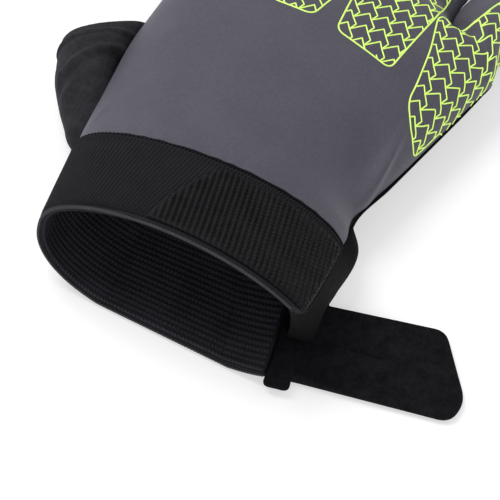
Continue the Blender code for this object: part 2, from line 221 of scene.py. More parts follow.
def tubePiece(name, path, radius, sides, finish, up=(0.0, 0.0, 1.0)):
    # Ring k of the path: p + r (cos a * side + sin a * above); the radius may be a grid. Both ends
    # close in a point.
    ahead = unit(np.gradient(path, axis=0))
    side = unit(np.cross(ahead, np.broadcast_to(np.asarray(up, float), path.shape)))
    above = np.cross(side, ahead)
    angle = np.linspace(0.0, 2 * math.pi, sides, endpoint=False)[None, :, None]
    radius = np.broadcast_to(radius, (len(path), sides))[..., None]
    outward = np.cos(angle) * side[:, None] + np.sin(angle) * above[:, None]
    rings = path[:, None] + radius * outward
    points = np.concatenate([np.broadcast_to(path[:1, None], (1, sides, 3)), rings,
                             np.broadcast_to(path[-1:, None], (1, sides, 3))])
    place = lengthsTo(path)
    place = np.concatenate([place[:1], place, place[-1:]])[:, None]
    uv = np.stack(np.broadcast_arrays(np.linspace(0, 2 * math.pi, sides + 1)[None], place), -1)
    normals = unit(points - np.concatenate([path[:1], path, path[-1:]])[:, None])
    faces = gridFaces(len(points), sides, True)
    faces, corners = turnedOut(faces, gridCorners(uv), points, normals)
    return meshPiece(name, points.reshape(-1, 3), faces, corners, finish, weld=True)


def stitchPiece(name, centres, ahead, above, size, finish):
    # Small loaves of thread: each is an ellipsoid (length, width, height) set on its place.
    rows, sides = 6, 8
    turn = np.linspace(0.0, math.pi, rows)[:, None]
    angle = np.linspace(0.0, 2 * math.pi, sides, endpoint=False)[None]
    loaf = np.stack(np.broadcast_arrays(-np.cos(turn) * size[0] / 2,
                                        np.sin(turn) * np.cos(angle) * size[1] / 2,
                                        np.sin(turn) * np.sin(angle) * size[2] / 2), -1)
    loaf = loaf.reshape(1, -1, 3)
    ahead, above = unit(ahead), unit(above)
    side = unit(np.cross(above, ahead))
    points = (centres[:, None] + loaf[..., :1] * ahead[:, None] + loaf[..., 1:2] * side[:, None]
              + loaf[..., 2:] * above[:, None])
    offsets = np.arange(len(centres))[:, None, None] * rows * sides
    faces = (gridFaces(rows, sides, True)[None] + offsets).reshape(-1, 4)
    corners = np.zeros((len(faces), 4, 2)) + np.array([[0, 0], [1, 0], [1, 1], [0, 1]])[None]
    first = points[0].reshape(rows, sides, 3)
    faces, corners = turnedOut(faces, corners, first, unit(first - centres[0]))
    return meshPiece(name, points.reshape(-1, 3), faces, corners, finish, weld=True)


def linear(hexColour):
    # sRGB hex to the linear colour that the shader reads: ((c + 0.055) / 1.055) ^ 2.4
    values = [int(hexColour[i:i + 2], 16) / 255 for i in (1, 3, 5)]
    return (*[v / 12.92 if v <= 0.04045 else ((v + 0.055) / 1.055) ** 2.4 for v in values], 1.0)


def addNode(tree, kind, inputs=None, **settings):
    # One node, its settings, and its inputs filled with values or with other nodes' outputs.
    node = tree.nodes.new(kind)
    for name, value in settings.items():
        setattr(node, name, value)
    for name, value in (inputs or {}).items():
        if isinstance(value, bpy.types.NodeSocket):
            tree.links.new(value, node.inputs[name])
        else:
            node.inputs[name].default_value = value
    return node


def newFinish(name, roughness):
    # An empty Principled material: returns the material, its tree and its shader.
    made = bpy.data.materials.new(name)
    made.use_nodes = True
    shader = made.node_tree.nodes["Principled BSDF"]
    shader.inputs["Roughness"].default_value = roughness
    return made, made.node_tree, shader


def clothFinish(name, dark, light, roughness, grain, blotch, bands, bumps, sheen=0.0,
                sheenTint="#ffffff", specular=0.5):
    # Colour runs from dark to light with two noises (grain and blotch, mm) and with bands of
    # threads or of painted shade along ribs and rows:
    # each band is (UV axis, pitch in mm, how much it shows). Bump adds the threads' relief.
    made, tree, shader = newFinish(name, roughness)
    shader.inputs["Sheen Weight"].default_value = sheen
    shader.inputs["Sheen Tint"].default_value = linear(sheenTint)
    shader.inputs["Specular IOR Level"].default_value = specular
    place = addNode(tree, "ShaderNodeUVMap", uv_map="cloth")
    solid = addNode(tree, "ShaderNodeTexCoord").outputs["Object"]
    fine = addNode(tree, "ShaderNodeTexNoise",
                   {"Vector": solid, "Scale": 1000.0 / grain, "Detail": 3.0, "Roughness": 0.6})
    wide = addNode(tree, "ShaderNodeTexNoise",
                   {"Vector": solid, "Scale": 1000.0 / blotch, "Detail": 2.0, "Roughness": 0.5})
    tone = addNode(tree, "ShaderNodeMath", {0: fine.outputs["Fac"], 1: 0.55}, operation="MULTIPLY")
    tone = addNode(tree, "ShaderNodeMath", {0: wide.outputs["Fac"], 1: 0.45, 2: tone.outputs[0]},
                   operation="MULTIPLY_ADD")
    relief = fine.outputs["Fac"]
    parts = addNode(tree, "ShaderNodeSeparateXYZ", {"Vector": place.outputs["UV"]})
    for axis, pitch, shows in bands:
        turns = 2 * math.pi * uvSize / pitch
        turn = addNode(tree, "ShaderNodeMath", {0: parts.outputs[axis], 1: turns},
                       operation="MULTIPLY")
        wave = addNode(tree, "ShaderNodeMath", {0: turn.outputs[0]}, operation="SINE")
        tone = addNode(tree, "ShaderNodeMath", {0: wave.outputs[0], 1: shows, 2: tone.outputs[0]},
                       operation="MULTIPLY_ADD")
        relief = addNode(tree, "ShaderNodeMath", {0: wave.outputs[0], 1: 0.4, 2: relief},
                         operation="MULTIPLY_ADD").outputs[0]
    ramp = addNode(tree, "ShaderNodeMapRange",
                   {"Value": tone.outputs[0], "From Min": 0.3, "From Max": 0.7})
    # sockets 6 and 7 of the Mix node are its two colours, and output 2 is the blend
    colour = addNode(tree, "ShaderNodeMix",
                     {"Factor": ramp.outputs["Result"], 6: linear(dark), 7: linear(light)},
                     data_type="RGBA")
    tree.links.new(colour.outputs[2], shader.inputs["Base Color"])
    bump = addNode(tree, "ShaderNodeBump",
                   {"Height": relief, "Strength": bumps, "Distance": 0.0003})
    tree.links.new(bump.outputs["Normal"], shader.inputs["Normal"])
    return made


# Polyester stretch knit: filament yarn, so a soft sheen; wales 0.4 mm apart, drawn at 0.8 to show.
greyKnit = clothFinish("warp knit polyester", "#464450", "#53515a", 0.62, 0.9, 16.0,
                       [("X", 0.8, 0.014), ("Y", 0.8, 0.012)], 0.10,
                       sheen=0.22, sheenTint="#c8c6d2", specular=0.25)
# Microfibre suede: brushed, so it scatters light with no highlight and shows blotches of nap.
blackSuede = clothFinish("microfibre suede", "#1a1a1d", "#303034", 0.92, 1.1, 5.0, [], 0.5,
                         sheen=0.10, sheenTint="#8c8c96", specular=0.12)
# Woven elastic: polyester over rubber; its ribs are in the mesh, its cross threads 0.7 mm apart.
blackElastic = clothFinish("woven elastic", "#101014", "#1e1e23", 0.72, 0.6, 9.0,
                           [("Y", 0.7, 0.08)], 0.35,
                           sheen=0.04, sheenTint="#85858f", specular=0.15)
# The elastic's inner face, drawn lighter than the outside as painted light on the cuff's shaded
# inside; bands paint shade in the grooves between the ribs and ladders.
insideElasticPaintedLight = clothFinish("woven elastic inside with painted light and rib shade", "#1b1b1f", "#303037", 0.78, 0.6, 9.0,
                           [("Y", 1.7, 0.16), ("X", 0.95, 0.06)], 0.35,
                           sheen=0.05, sheenTint="#85858f", specular=0.12)
# Overlock thread: spun polyester, drawn a little lighter as a painted highlight for the light its
# loops catch.
threadPaintedHighlight = clothFinish("overlock thread with painted highlight", "#252429", "#38373d", 0.66, 0.5, 4.0, [], 0.4,
                        sheen=0.08, sheenTint="#b0aeb8", specular=0.25)
# Hook tape: extruded nylon hooks on a woven ground, glossier than cloth; its bands are painted
# shade in the valleys between its rows, lighter on the crests.
hookNylonRowShade = clothFinish("hook tape nylon with painted row shade", "#040406", "#151518", 0.55, 0.5, 6.0,
                        [("X", 1.4, 0.16)], 0.5,
                        sheen=0.01, sheenTint="#9a9aa4", specular=0.14)
# Loop tape: brushed nylon pile, matt and uneven, with tips that catch light at the edges.
brushedPile = clothFinish("brushed loop pile", "#08080b", "#1b1b1f", 0.95, 1.0, 3.5, [], 0.9,
                          sheen=0.06, sheenTint="#7c7c84", specular=0.08)
# Bias tape: flat black polyester that takes almost no light.
blackTape = clothFinish("black bias tape", "#060608", "#0e0e10", 0.85, 0.6, 8.0,
                        [("X", 0.7, 0.05)], 0.3, sheen=0.01, specular=0.06)
# Satin side strip between the fingers: filament nylon with a clear sheen.
satinKnit = clothFinish("satin side knit", "#64626b", "#7d7b85", 0.45, 1.0, 10.0,
                        [("Y", 0.8, 0.03)], 0.2,
                        sheen=0.1, sheenTint="#e0dfe8", specular=0.4)


def makePrintFinish():
    # Heat-pressed silicone ink: yellow-green with a soft gloss, and a little emission for the
    # light that a fluorescent pigment gives back.
    made, tree, shader = newFinish("fluorescent silicone print", 0.45)
    solid = addNode(tree, "ShaderNodeTexCoord")
    noise = addNode(tree, "ShaderNodeTexNoise", {"Vector": solid.outputs["Object"], "Scale": 900.0})
    colour = addNode(tree, "ShaderNodeMix",
                     {"Factor": noise.outputs["Fac"], 6: linear("#c2e956"), 7: linear("#e0ff8a")},
                     data_type="RGBA")
    tree.links.new(colour.outputs[2], shader.inputs["Base Color"])
    tree.links.new(colour.outputs[2], shader.inputs["Emission Color"])
    shader.inputs["Emission Strength"].default_value = 0.2
    return made


printInk = makePrintFinish()
print("finishes ready")


hand = {
    "seamY": 31.4, "length": 91.6, "width": 88.3, "height": 30.4, "wall": 1.1, "sink": 1.0,
    # place / length, left and right / width, height and widest line / height
    "sections": [(0.00, -0.412, 0.378, 1.02, 0.49), (0.14, -0.409, 0.373, 0.97, 0.46),
                 (0.29, -0.403, 0.426, 0.96, 0.44), (0.43, -0.395, 0.475, 0.97, 0.44),
                 (0.64, -0.364, 0.548, 1.00, 0.44), (0.84, -0.354, 0.614, 0.93, 0.43),
                 (1.01, -0.348, 0.648, 0.77, 0.41)],
    # x / width and y / length of each web, from the index finger's outer side
    "webs": [(-0.350, 0.86), (-0.108, 0.98), (0.164, 1.0), (0.430, 0.935), (0.599, 0.850)],
    "lean": 1.3, "valleyStart": 0.87, "fingerHeight": 23.5, "fingerMiddle": 12.5, "palmTuck": 1.6,
    # creases: x and y of both ends, width, height in mm
    "creases": [(-35.4, 35.0, -32.0, 47.0, 0.7, 0.35), (-34, 46, -30, 60, 1.6, 0.25),
                (-30, 62, -24, 78, 2.5, 0.2), (0, 92, 10, 70, 5.0, 0.35),
                (26, 84, 22, 60, 6.0, 0.4), (36.2, 72, 33.0, 43, 1.3, 2.0),
                (31, 70, 28, 36, 5.5, -2.1), (14, 60, 24, 36, 5.0, -0.35)],
    "uneven": [(0.12, 13.0, 5), (0.05, 6.0, 6)],      # height, grain and seed
    "gather": (3.5, 0.12, 0.25),                      # width, height and depth at the cuff's seam
    "columns": 31, "backRows": 90, "palmRows": 60,    # the grid: columns are per finger
}
fingers = {
    "length": 28.0, "width": 20.0, "gridRows": 46,
    "hem": 4.0, "hemHeight": 0.35,
    # piece, node, length / length, degrees right of +Y, width and height of the end / width
    "rows": [("indexKnit", "index_sleeve", 0.96, 1.0, 0.98, 0.96),
             ("middleKnit", "middle_sleeve", 1.00, 6.0, 1.02, 0.98),
             ("ringKnit", "ring_sleeve", 0.96, 13.5, 1.04, 0.96),
             ("littleKnit", "little_sleeve", 0.89, 15.5, 0.94, 0.88)],
}
sectionTable = np.array(hand["sections"])
sectionPlaces = hand["seamY"] + sectionTable[:, 0] * hand["length"]
sectionSizes = sectionTable[:, 1:] * (hand["width"], hand["width"], hand["height"], hand["height"])
webs = np.array(hand["webs"]) * (hand["width"], hand["length"]) + (0.0, hand["seamY"])
webShares = (webs[:, 0] - webs[0, 0]) / (webs[-1, 0] - webs[0, 0])
webAngles = np.arccos(np.clip(2 * webShares - 1, -1, 1))
fingerTable = np.array([row[2:] for row in fingers["rows"]])


def sectionPoint(section, angle, sink=1.0, power=2.0):
    # x = centre + half * cos^(2/p), z = middle + rise * sin^(2/p); p is 2 above and power below,
    # and the lower half is cut flat at the floor.
    left, right, height, middle = np.moveaxis(section, -1, 0)
    across, up = np.cos(angle), np.sin(angle)
    power = np.where(up >= 0, 2.0, power)
    x = (left + right) / 2 + (right - left) / 2 * np.sign(across) * np.abs(across) ** (2 / power)
    rise = np.where(up >= 0, height - middle, -(middle + sink))
    return x, np.maximum(middle + rise * np.abs(up) ** (2 / power), 0.0)


def seamLean(angle):
    # The seam runs further up on the thumb's side: lean * cos^2 of the angle, left half only.
    return hand["lean"] * np.minimum(np.cos(angle), 0.0) ** 2


def skinPoint(across, along, side):
    # across 0 to 4 counts fingers from the index finger's outer side, along is 0 at the cuff,
    # 1 at the webs and 2 at the fingers' ends, side is 1 on the back and -1 on the palm.
    # Hand: section at y, blended by smoothStep into each finger's ellipse near the webs.
    # Finger: cubic Hermite from the web's ellipse to the square open end.
    finger = np.clip(np.floor(across).astype(int), 0, 3)
    share = across - finger
    left, right = webs[finger], webs[finger + 1]
    reach = 0.5 - 0.5 * np.cos(math.pi * share)
    bow = np.sin(math.pi * share)
    v = np.clip(along, 0.0, 1.0)
    webY = mix(left[..., 1], right[..., 1], reach)
    angle = side * mix(webAngles[finger], webAngles[finger + 1], share)
    y = mix(hand["seamY"] + seamLean(angle), webY, v)
    x, z = sectionPoint(throughRows(y, sectionPlaces, sectionSizes), angle, hand["sink"])
    valley = smoothStep((v - hand["valleyStart"]) / (1 - hand["valleyStart"]))
    middle = hand["fingerMiddle"]
    rise = np.where(side > 0, hand["fingerHeight"] - middle, -(middle + hand["sink"]))
    webX = mix(left[..., 0], right[..., 0], reach)
    webZ = np.maximum(middle + rise * np.where(side > 0, bow, bow ** hand["palmTuck"]), 0.0)
    x, z = mix(x, webX, valley), mix(z, webZ, valley)
    length, direction, endWide, endTall = np.moveaxis(fingerTable[finger], -1, 0)
    length = length * fingers["length"]
    turn = np.radians(direction)
    t = np.clip(along - 1.0, 0.0, 1.0)
    centre = (left + right) / 2
    half = endWide * fingers["width"] / 2
    endX = centre[..., 0] + np.sin(turn) * length - np.cos(turn) * half * np.cos(math.pi * share)
    endY = centre[..., 1] + np.cos(turn) * length + np.sin(turn) * half * np.cos(math.pi * share)
    tall = endTall * fingers["width"] / 2
    endZ = tall + np.where(side > 0, tall, -tall) * bow
    h10, h01, h11 = t ** 3 - 2 * t ** 2 + t, 3 * t ** 2 - 2 * t ** 3, t ** 3 - t ** 2
    x = x + h01 * (endX - webX) + h11 * np.sin(turn) * length
    y = y + h01 * (endY - webY) + h10 * length + h11 * np.cos(turn) * length
    z = z + h01 * (endZ - z)
    return np.stack([x, y, z], -1)


def skinWithNormal(across, along, side):
    # The point, and the cross product of the two directions found by small steps.
    step = 0.004
    low, high = np.clip(across - step, 0.0, 4.0), np.clip(across + step, 0.0, 4.0)
    own = np.clip(np.floor(across), 0, 3)
    low, high = np.maximum(low, own), np.minimum(high, own + 1 - 1e-9)
    du = skinPoint(high, along, side) - skinPoint(low, along, side)
    dv = (skinPoint(across, np.minimum(along + step, 2.0), side)
          - skinPoint(across, np.maximum(along - step, 0.0), side))
    return skinPoint(across, along, side), unit(np.cross(du, dv)) * side


def lineDistance(x, y, line):
    # Distance to a line's middle and across it: d2 = |p - nearest point of the segment|
    start, end = np.array(line[:2], float), np.array(line[2:4], float)
    way = end - start
    share = np.clip(((x - start[0]) * way[0] + (y - start[1]) * way[1]) / (way @ way), 0.0, 1.0)
    return np.hypot(x - start[0] - share * way[0], y - start[1] - share * way[1]), share


def skinRelief(points, across, along, side):
    # Height along the normal: the creases' ridges height * hill * sin over their length, a soft
    # unevenness, small gathers at the cuff's seam and the hems at the fingers' ends.
    x, y = points[..., 0], points[..., 1]
    relief = unevenness(x, y, hand["uneven"])
    if side > 0:
        for line in hand["creases"]:
            distance, share = lineDistance(x, y, line)
            swell = np.sin(math.pi * np.clip(share, 0.02, 0.98))
            relief = relief + line[5] * hill(distance, line[4]) * swell
    width, height, depth = hand["gather"]
    gather = hill(y - hand["seamY"], width)
    relief = relief + gather * (height * np.sin(x * 1.1 + 2 * np.sin(x * 0.3)) - depth)
    finger = np.clip(np.floor(across).astype(int), 0, 3)
    fromEnd = (2.0 - along) * fingerTable[finger, 0] * fingers["length"]
    fromHem = fromEnd - fingers["hem"]
    hem = smoothStep((0.5 - fromHem) / 0.8) - 0.9 * hill(fromHem, 0.5)
    return relief + np.where(along > 1.0, fingers["hemHeight"] * hem, 0.0)


def skinGrid(across, along, side):
    # Grid of the skin with its relief: P + n * h, and the UV in mm of cloth.
    across, along = np.meshgrid(across, along)
    points, normals = skinWithNormal(across, along, side)
    points = points + normals * skinRelief(points, across, along, side)[..., None]
    points[..., 2] = np.maximum(points[..., 2], 0.0)
    wide = lengthsAlong(points)
    wide = wide - wide[:, wide.shape[1] // 2:wide.shape[1] // 2 + 1]
    return points, normals, np.stack([wide, points[..., 1]], -1)


def makeSkin():
    # The back and the palm as one sheet each, then a closed sleeve for each finger.
    columns, cuffEnd = hand["columns"], 0.003
    across = np.concatenate([np.linspace(f, f + 1, columns)[:-1] for f in range(4)] + [[4.0]])
    points, normals, uv = skinGrid(across, np.linspace(cuffEnd, 1.0, hand["backRows"]), 1)
    back = wallPiece("backKnit", points, normals, hand["wall"], uv, greyKnit)
    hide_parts("back_panel")
    points, normals, uv = skinGrid(across, np.linspace(cuffEnd, 1.0, hand["palmRows"]), -1)
    palm = wallPiece("palmSuede", points, normals, hand["wall"], uv, blackSuede)
    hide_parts("palm_panel")
    along = np.linspace(1.0, 2.0, fingers["gridRows"])
    for number, row in enumerate(fingers["rows"]):
        top = np.linspace(number, number + 1 - 1e-9, columns)
        upper, lower = skinGrid(top, along, 1), skinGrid(top[::-1][1:-1], along, -1)
        points, normals = [np.concatenate([upper[k], lower[k]], 1) for k in (0, 1)]
        around = lengthsAlong(np.concatenate([points, points[:, :1]], 1))
        uv = np.stack([around, np.broadcast_to(points[:, :1, 1], around.shape)], -1)
        sleeve = wallPiece(row[0], points, normals, hand["wall"], uv, greyKnit, closedColumns=True)
        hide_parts(row[1])


piping = {
    "span": (0.12, 1.97), "steps": 240, "sides": 10,  # from the gusset's tip to the sleeve's end
    "offset": (0.15, -0.1, -0.35), "slimFrom": 0.75, "slimOver": 0.2,
    "radius": 0.44, "slimmer": 0.14, "tuck": (0.3, 0.0, 0.0),
}


def makeSidePiping():
    # A thin black cord along the little finger's side, slimmer and tucked in past the knuckle.
    along = np.linspace(*piping["span"], piping["steps"])
    points, _ = skinWithNormal(np.full(piping["steps"], 4.0 - 1e-6), along, 1)
    slim = smoothStep((along[:, None] - piping["slimFrom"]) / piping["slimOver"])
    path = points + piping["offset"] - slim * piping["tuck"]
    radius = piping["radius"] - piping["slimmer"] * slim
    made = tubePiece("sidePiping", path, radius, piping["sides"], blackTape)


makeSkin()
makeSidePiping()
print("hand and fingers ready")


def roundedOutline(corners, step):
    # Straight sides joined by quadratic corners, then sampled at even steps of length.
    corners = np.array(corners, float)
    place, radius = corners[:, :2], corners[:, 2:]
    back, ahead = unit(np.roll(place, 1, 0) - place), unit(np.roll(place, -1, 0) - place)
    t = np.linspace(0, 1, 12)[None, :, None]
    start, end = (place + back * radius)[:, None], (place + ahead * radius)[:, None]
    arcs = quadratic(t, start, place[:, None], end).reshape(-1, 2)
    loop = np.concatenate([arcs, arcs[:1]])
    length = lengthsTo(loop)
    at = np.linspace(0, length[-1], int(length[-1] / step), endpoint=False)
    return np.stack([np.interp(at, length, loop[:, k]) for k in (0, 1)], -1), length[-1]


# satin strip between the ring and little fingers
sideStrip = {
    "wall": 0.8, "gridRows": 80, "columns": 40, "inside": (52.0, 124.0, 9.0),
    "pucker": 0.35, "uneven": [(0.12, 3.0, 61)],
    # crest on the little finger, bulge towards the ring finger, foot under the finger: x, y, z
    "rows": [(40.2, 111.2, 18.6, 38.7, 114.4, 13.5, 38.0, 116.5, 7.0),
             (43.2, 113.4, 21.6, 39.6, 117.6, 12.5, 38.0, 119.5, 3.0),
             (44.6, 118.0, 21.6, 40.2, 122.0, 11.0, 38.5, 124.0, 2.0),
             (46.8, 124.5, 20.0, 41.8, 127.6, 10.0, 40.0, 129.5, 1.6),
             (49.2, 132.0, 17.4, 44.0, 134.0, 9.0, 42.0, 135.0, 1.6)],
}


def makeSideStrip():
    # Each row is a quadratic curve through crest, bulge and foot, with fine puckers near the web.
    table = np.array(sideStrip["rows"])
    t = np.linspace(0, len(table) - 1.0, sideStrip["gridRows"])
    rows = throughRows(t, np.arange(len(table)), table)
    start, middle, end = rows[:, None, 0:3], rows[:, None, 3:6], rows[:, None, 6:9]
    s = np.linspace(0, 1, sideStrip["columns"])[None, :, None]
    points = quadratic(s, start, 2 * middle - (start + end) / 2, end)
    normals = normalsOf(points, np.array(sideStrip["inside"]))
    puckers = sideStrip["pucker"] * np.sin(t[:, None] * 9.0 + s[..., 0] * 5.0)
    puckers = puckers * hill(t[:, None], 1.1)
    relief = puckers + unevenness(points[..., 1], points[..., 2], sideStrip["uneven"])
    points = points + normals * relief[..., None]
    uv = np.stack([points[..., 1], lengthsAlong(points)], -1)
    made = wallPiece("satinSide", points, normals, sideStrip["wall"], uv, satinKnit)


makeSideStrip()


ink = {
    "width": 0.40, "edgeWidth": 0.46, "rise": 0.14, "step": 0.5, "round": 2.5,
    # a plain lattice of zigzags: steps along and across, and the tooth of each, mm on the cloth
    "column": (4.5, 1.6), "row": (0.3, -4.4), "columnTooth": (3.5, 3.5), "rowTooth": (1.4, -2.0),
    "middle": (0.0, 96.0), "count": 16, "samples": 15,
    "window": (-60, 60, 60, 140),                     # x and y that the lattice has to cover
    # first and last web, and corners in plan, mm
    # (past the little finger's middle x goes on as length over the cloth)
    "fields": [(1, 2, [(4.6, 87.1), (7.2, 94.5), (11.5, 104), (12, 128), (-5, 129), (-7, 104),
                       (-6.6, 88.4)]),
               (1, 3, [(27.3, 82.1), (33.7, 107.0), (35.6, 122), (35, 133), (19, 135),
                       (15.6, 118), (12.1, 98), (11.4, 85.6)]),
               (2, 4, [(33.9, 107.0), (35.1, 95), (35.0, 83), (34.5, 77.6), (38.3, 70.8),
                       (43.6, 68.2), (46.2, 74), (48.6, 80.5), (75, 88), (80, 131), (53, 133),
                       (48.6, 128), (46.3, 121.5), (44.4, 115.5), (42.4, 112.0), (39.6, 110.6),
                       (36.6, 109.6)])],
}


def insidePlan(x, y, corners):
    # Even-odd count of the field's sides that a ray to +X crosses.
    x0, y0 = np.array(corners, float).T
    x1, y1 = np.roll(x0, -1), np.roll(y0, -1)
    x, y = x[..., None], y[..., None]
    level = np.where(y1 == y0, 1e-9, y1 - y0)
    crosses = ((y0 > y) != (y1 > y)) & (x < (x1 - x0) * (y - y0) / level + x0)
    return crosses.sum(axis=-1) % 2 == 1


def skinMap(low, high):
    # The back's surface as tables over the fingers low to high (columns) and along (rows).
    across = np.concatenate([np.linspace(f, f + 1 - 1e-6, 61) for f in range(low, high)])
    return (*skinGrid(across, np.linspace(0.003, 1.95, 260), 1)[:2], across)


def ontoSkin(tables, x, y):
    # Finds the row whose y and the column whose x fit, by turns, and blends the four corners; past
    # the middle of the little finger x goes on as length over the cloth. Returns the points, the
    # normals and whether each place was found within 0.4 mm.
    points, normals, across = tables
    first, table = x, points[..., 0]
    if across[-1] > 3.5:
        edge = np.searchsorted(across, 3.5)
        arc = lengthsAlong(points)
        table = np.where(across > 3.5, table[:, edge:edge + 1] + arc - arc[:, edge:edge + 1], table)
    rows, columns = table.shape
    spot = np.arange(len(first))
    column = np.full(len(first), columns * 0.5)
    for _ in range(14):
        low = np.clip(np.floor(column).astype(int), 0, columns - 2)
        part = (column - low)[None]
        line = mix(points[:, low, 1], points[:, low + 1, 1], part)
        row = np.clip((line < y[None]).sum(axis=0), 1, rows - 1)
        gap = np.maximum(line[row, spot] - line[row - 1, spot], 1e-6)
        row = row - 1 + np.clip((y - line[row - 1, spot]) / gap, 0, 1)
        base = np.clip(np.floor(row).astype(int), 0, rows - 2)
        line = mix(table[base], table[base + 1], (row - base)[:, None])
        found = np.clip((line < first[:, None]).sum(axis=1), 1, columns - 1)
        gap = np.maximum(line[spot, found] - line[spot, found - 1], 1e-6)
        found = found - 1 + np.clip((first - line[spot, found - 1]) / gap, 0, 1)
        column = 0.3 * column + 0.7 * found
    low = np.clip(np.floor(column).astype(int), 0, columns - 2)
    part, share = (column - low)[:, None], (row - base)[:, None]
    blend = lambda grid: mix(mix(grid[base, low], grid[base, low + 1], part),
                             mix(grid[base + 1, low], grid[base + 1, low + 1], part), share)
    gap = np.hypot(blend(table[..., None])[:, 0] - x, blend(points)[:, 1] - y)
    return blend(points), unit(blend(normals)), (gap < 0.4) & (column < columns - 1.5)


def ribbonStrip(points, normals, width):
    # Four points across each place: the middle two raised, the outer two just under the cloth.
    side = unit(np.cross(np.gradient(points, axis=0), normals))
    places = np.array([-0.5, -0.28, 0.28, 0.5])[None, :, None] * width
    rises = np.array([-0.08, 1.0, 1.0, -0.08])[None, :, None] * ink["rise"]
    return points[:, None] + places * side[:, None] + rises * normals[:, None]


def latticeStrokes():
    # From each node two bent strokes, by a tooth to the next node along and to the next one across.
    column, row, alongTooth, acrossTooth = [np.array(ink[key]) for key in
                                            ("column", "row", "columnTooth", "rowTooth")]
    steps = np.arange(-ink["count"], ink["count"] + 1)
    i, j = np.meshgrid(steps, steps)
    start = (i[..., None] * column + j[..., None] * row + ink["middle"]).reshape(-1, 2)
    pairs = [(start, start + alongTooth), (start + alongTooth, start + column),
             (start, start + acrossTooth), (start + acrossTooth, start + row)]
    return np.concatenate([np.stack(pair, 1) for pair in pairs])


def makePrint():
    # Strokes and outlines are sampled, kept where they lie inside their field and laid on the back.
    strokes = latticeStrokes()
    samples = mix(strokes[:, :1], strokes[:, 1:], np.linspace(0, 1, ink["samples"])[None, :, None])
    x, y = samples[:, ink["samples"] // 2].T
    left, right, low, high = ink["window"]
    samples = samples[(x > left) & (x < right) & (y > low) & (y < high)]
    shape = samples.shape[:2]
    strips = []
    for first, last, corners in ink["fields"]:
        tables = skinMap(first, last)
        points, normals, held = ontoSkin(tables, samples[..., 0].ravel(), samples[..., 1].ravel())
        inside = insidePlan(samples[..., 0], samples[..., 1], corners) & held.reshape(shape)
        points, normals = points.reshape(*shape, 3), normals.reshape(*shape, 3)
        for keep, place, normal in zip(inside, points, normals):
            if keep.sum() > 3:
                kept = np.flatnonzero(keep)
                run = slice(kept[0], kept[-1] + 1)
                strips.append(ribbonStrip(place[run], normal[run], ink["width"]))
        outline, _ = roundedOutline([(*corner, ink["round"]) for corner in corners], ink["step"])
        outline = np.concatenate([outline, outline[:1]])
        points, normals, held = ontoSkin(tables, outline[:, 0], outline[:, 1])
        for run in np.split(np.arange(len(outline)), np.flatnonzero(np.diff(held.astype(int))) + 1):
            if len(run) > 4 and held[run[0]]:
                strips.append(ribbonStrip(points[run], normals[run], ink["edgeWidth"]))
    starts = np.cumsum([0] + [len(strip) * 4 for strip in strips])
    faces = np.concatenate([gridFaces(len(strip), 4) + start
                            for strip, start in zip(strips, starts)])
    vertices = np.concatenate([strip.reshape(-1, 3) for strip in strips])
    corner = vertices[faces[:, 0]]
    facing = np.cross(vertices[faces[:, 1]] - corner, vertices[faces[:, 3]] - corner)
    faces = faces if facing[:, 2].sum() > 0 else faces[:, ::-1]
    made = meshPiece("printLines", vertices, faces, vertices[faces][..., :2], printInk, sharp=60.0)


makePrint()
print("print ready")


thumb = {
    "lift": 0.5, "wall": 1.1, "square": 0.7, "from": 0.6, "gridRows": 110, "columns": 96,
    # centre x and y, half width to the left and to the right, height, all mm; degrees left of +Y
    "rows": [(-24.0, 41.5, 10.5, 9.0, 13.0, 38.0), (-35.2, 44.7, 6.0, 7.2, 14.5, 36.0),
             (-40.5, 55.4, 7.5, 6.7, 17.0, 29.0), (-41.7, 65.8, 9.6, 8.4, 17.4, 27.0),
             (-39.4, 75.1, 14.1, 9.5, 15.3, 33.0)],
    # distances from the open end; ridges and grooves: height, how far past it, width
    "hem": 5.0, "hemRidge": (0.4, 0.0, 0.7), "hemGroove": (-0.3, 1.4, 0.7),
    "fold": 14.0, "foldBend": 4.0, "foldRidge": (0.7, 0.0, 1.2), "foldGroove": (-0.6, 2.8, 1.8),
    "nextFold": (0.35, 7.0, 1.3),
    "nap": [(0.4, 5.0, 11)], "grain": [(0.05, 1.3, 12)],
}


